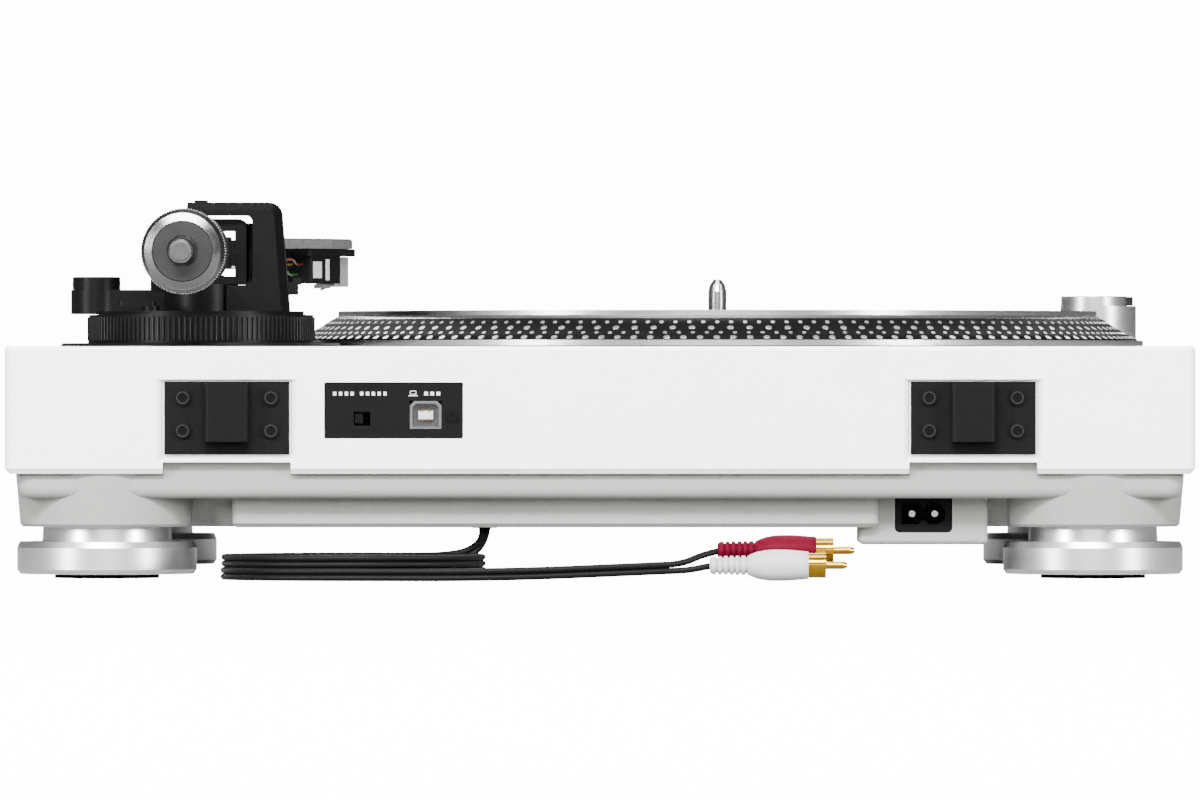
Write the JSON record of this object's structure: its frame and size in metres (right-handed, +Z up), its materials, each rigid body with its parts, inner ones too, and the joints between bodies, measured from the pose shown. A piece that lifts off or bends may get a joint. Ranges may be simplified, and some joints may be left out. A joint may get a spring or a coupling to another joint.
{
  "type": "turntable record player",
  "caption": "Direct-drive turntable with a heavy cast platter, S-shaped gimballed tonearm, pitch fader, adjustable feet and a coiled stereo audio cord.",
  "frame": {"origin": "centre of the body's footprint, on the surface that the feet stand on", "axes": "+Z up, front edge faces -Y, connectors and hinge sockets face +Y, tonearm on the +X side"},
  "size_m": [0.45, 0.4139, 0.1443],
  "materials": {
    "cabinet": "semi gloss off-white",
    "base": "matte light grey-white, heavy moulded rubber compound",
    "black_plastic": "satin black",
    "usb_steel": "plain plated steel",
    "usb_white": "matte white with gold contacts",
    "contact_metal": "gold plated",
    "screw_black": "blackened steel",
    "aluminium_turned": "turned, satin",
    "mat_rubber": "matte",
    "steel": "polished",
    "magnet": "plain ferrite",
    "motor_iron": "laminated iron with copper coils",
    "board": "green laminate with parts",
    "lens_red": "clear red",
    "arm_metal": "satin silver paint",
    "arm_black": "satin black",
    "tube_chrome": "polished tube",
    "button_white": "satin light",
    "stylus_light": "light grey",
    "weight_dark": "dark anodised with a bright bevel",
    "foot_metal": "turned aluminium over a rubber pad",
    "cord_grey": "matte dark grey",
    "boot_red": "matte crimson",
    "boot_white": "matte light grey-white",
    "switch_black": "satin black"
  },
  "bodies": {
    "deck": {"arm_base_plate": "arm_black", "audio_cord_coil": "cord_grey", "audio_cord_lead": "cord_grey", "audio_cord_run": "cord_grey", "audio_lead_red": "cord_grey", "audio_lead_white": "cord_grey", "circuit_boards": "board", "cord_gland": "black_plastic", "hinge_bracket_left": "black_plastic", "hinge_bracket_right": "black_plastic", "inlet_pins": "steel", "io_panel": "black_plastic", "lower_base": "base", "motor_plate": "arm_metal", "motor_stator": "motor_iron", "pitch_panel": "black_plastic", "plug_contacts": "contact_metal", "power_inlet": "black_plastic", "rear_screws": "screw_black", "red_plug_boot": "boot_red", "strobe_lens": "lens_red", "strobe_tower": "arm_metal", "upper_cabinet": "cabinet", "usb_insert": "usb_white", "usb_shell": "usb_steel", "white_plug_boot": "boot_white"},
    "platter": {"platter": "aluminium_turned", "platter_mat": "mat_rubber", "spindle": "steel", "rotor_magnet": "magnet"},
    "ep_adapter": {"ep_adapter": "aluminium_turned"},
    "height_ring": {"height_ring": "arm_black"},
    "arm_base": {"arm_base_housing": "arm_black", "gimbal_arch": "arm_black", "arm_rest": "arm_black"},
    "lock_lever": {"height_lock_lever": "arm_black"},
    "anti_skate_dial": {"anti_skate_dial": "arm_black"},
    "cue_lever": {"cue_lever": "arm_black"},
    "lift_platform": {"lift_platform": "mat_rubber"},
    "arm_clamp": {"arm_clamp": "arm_black"},
    "gimbal": {"gimbal_ring": "arm_black"},
    "tonearm": {"arm_tube": "tube_chrome", "headshell": "arm_metal", "cartridge": "black_plastic", "stylus": "stylus_light"},
    "headshell_nut": {"headshell_nut": "steel"},
    "force_dial": {"force_dial": "arm_black"},
    "counterweight": {"counterweight": "weight_dark"},
    "start_stop": {"start_stop_button": "button_white"},
    "speed_33": {"speed_33_button": "button_white"},
    "speed_45": {"speed_45_button": "button_white"},
    "tempo_reset": {"tempo_reset_button": "button_white"},
    "pitch_fader": {"pitch_knob": "black_plastic"},
    "power_dial": {"power_dial": "arm_metal"},
    "line_switch": {"line_switch_knob": "switch_black"},
    "stylus_lamp": {"stylus_lamp": "arm_metal"},
    "foot_front_left": {"foot_front_left": "foot_metal"},
    "foot_front_right": {"foot_front_right": "foot_metal"},
    "foot_back_left": {"foot_back_left": "foot_metal"},
    "foot_back_right": {"foot_back_right": "foot_metal"}
  },
  "joints": [
    {"name": "platter_spin", "type": "hinge", "parent": "deck", "child": "platter", "pos_m": [-0.0458, -0.0015, 0.09], "axis": [0, 0, 1], "continuous": true},
    {"name": "adapter_lift", "type": "slide", "parent": "deck", "child": "ep_adapter", "axis": [0, 0, 1], "range_m": [0, 0.02]},
    {"name": "arm_height", "type": "slide", "parent": "deck", "child": "arm_base", "axis": [0, 0, 1], "range_m": [0, 0.006]},
    {"name": "height_ring_turn", "type": "hinge", "parent": "deck", "child": "height_ring", "pos_m": [0.1533, 0.0783, 0.095], "axis": [0, 0, 1], "range_deg": [0, 110.01]},
    {"name": "height_lock", "type": "hinge", "parent": "arm_base", "child": "lock_lever", "pos_m": [0.172, 0.102, 0.104], "axis": [0, 0, -1], "range_deg": [0, 60]},
    {"name": "anti_skate_turn", "type": "hinge", "parent": "arm_base", "child": "anti_skate_dial", "pos_m": [0.1938, 0.072, 0.112], "axis": [0, 0, 1], "range_deg": [0, 270]},
    {"name": "cue_turn", "type": "hinge", "parent": "arm_base", "child": "cue_lever", "pos_m": [0.1758, 0.0543, 0.1058], "axis": [-1, 0, 0], "range_deg": [0, 60]},
    {"name": "cue_lift", "type": "slide", "parent": "arm_base", "child": "lift_platform", "axis": [0, 0, 1], "range_m": [0, 0.0041]},
    {"name": "clamp_turn", "type": "hinge", "parent": "arm_base", "child": "arm_clamp", "pos_m": [0.15989, 0.00389, 0.131], "axis": [0.075, -0.9972, 0], "range_deg": [0, 80]},
    {"name": "tonearm_swing", "type": "hinge", "parent": "arm_base", "child": "gimbal", "pos_m": [0.1533, 0.0783, 0.124], "axis": [0, 0, -1], "range_deg": [0, 46]},
    {"name": "tonearm_lift", "type": "hinge", "parent": "gimbal", "child": "tonearm", "pos_m": [0.1533, 0.0783, 0.124], "axis": [-0.9984, 0.0558, 0], "range_deg": [-2, 9]},
    {"name": "headshell_nut_turn", "type": "hinge", "parent": "tonearm", "child": "headshell_nut", "pos_m": [0.13693, -0.10878, 0.124], "axis": [-0.5358, -0.8443, 0], "range_deg": [0, 120]},
    {"name": "weight_travel", "type": "slide", "parent": "tonearm", "child": "force_dial", "axis": [-0.0558, -0.9984, 0], "range_m": [-0.003, 0.003]},
    {"name": "weight_turn", "type": "hinge", "parent": "force_dial", "child": "counterweight", "pos_m": [0.1571, 0.14619, 0.124], "axis": [-0.0558, -0.9984, 0], "range_deg": [-360, 360]},
    {"name": "start_stop_press", "type": "slide", "parent": "deck", "child": "start_stop", "axis": [0, 0, -1], "range_m": [0, 0.0015], "stiffness_N_per_m": 400, "springref_m": -0.002},
    {"name": "speed_33_press", "type": "slide", "parent": "deck", "child": "speed_33", "axis": [0, 0, -1], "range_m": [0, 0.0015], "stiffness_N_per_m": 400, "springref_m": -0.002},
    {"name": "speed_45_press", "type": "slide", "parent": "deck", "child": "speed_45", "axis": [0, 0, -1], "range_m": [0, 0.0015], "stiffness_N_per_m": 400, "springref_m": -0.002},
    {"name": "tempo_reset_press", "type": "slide", "parent": "deck", "child": "tempo_reset", "axis": [0, 0, -1], "range_m": [0, 0.0015], "stiffness_N_per_m": 400, "springref_m": -0.002},
    {"name": "pitch_slide", "type": "slide", "parent": "deck", "child": "pitch_fader", "axis": [0, 1, 0], "range_m": [-0.045, 0.045]},
    {"name": "power_turn", "type": "hinge", "parent": "deck", "child": "power_dial", "pos_m": [-0.1963, -0.103, 0.106], "axis": [0, 0, 1], "range_deg": [0, 45]},
    {"name": "line_switch_slide", "type": "slide", "parent": "deck", "child": "line_switch", "axis": [-1, 0, 0], "range_m": [0, 0.0024]},
    {"name": "lamp_rise", "type": "slide", "parent": "deck", "child": "stylus_lamp", "axis": [0, 0, 1], "range_m": [0, 0.014]},
    {"name": "foot_front_left_height", "type": "slide", "parent": "deck", "child": "foot_front_left", "axis": [0, 0, -1], "range_m": [0, 0.004]},
    {"name": "foot_front_right_height", "type": "slide", "parent": "deck", "child": "foot_front_right", "axis": [0, 0, -1], "range_m": [0, 0.004]},
    {"name": "foot_back_left_height", "type": "slide", "parent": "deck", "child": "foot_back_left", "axis": [0, 0, -1], "range_m": [0, 0.004]},
    {"name": "foot_back_right_height", "type": "slide", "parent": "deck", "child": "foot_back_right", "axis": [0, 0, -1], "range_m": [0, 0.004]}
  ],
  "couplings": [
    {"joint": "height_ring_turn", "follows": "arm_height", "rad_per_m": 320},
    {"joint": "cue_lift", "follows": "cue_turn", "m_per_rad": 0.00382},
    {"joint": "weight_travel", "follows": "weight_turn", "m_per_rad": 0.00047746}
  ]
}
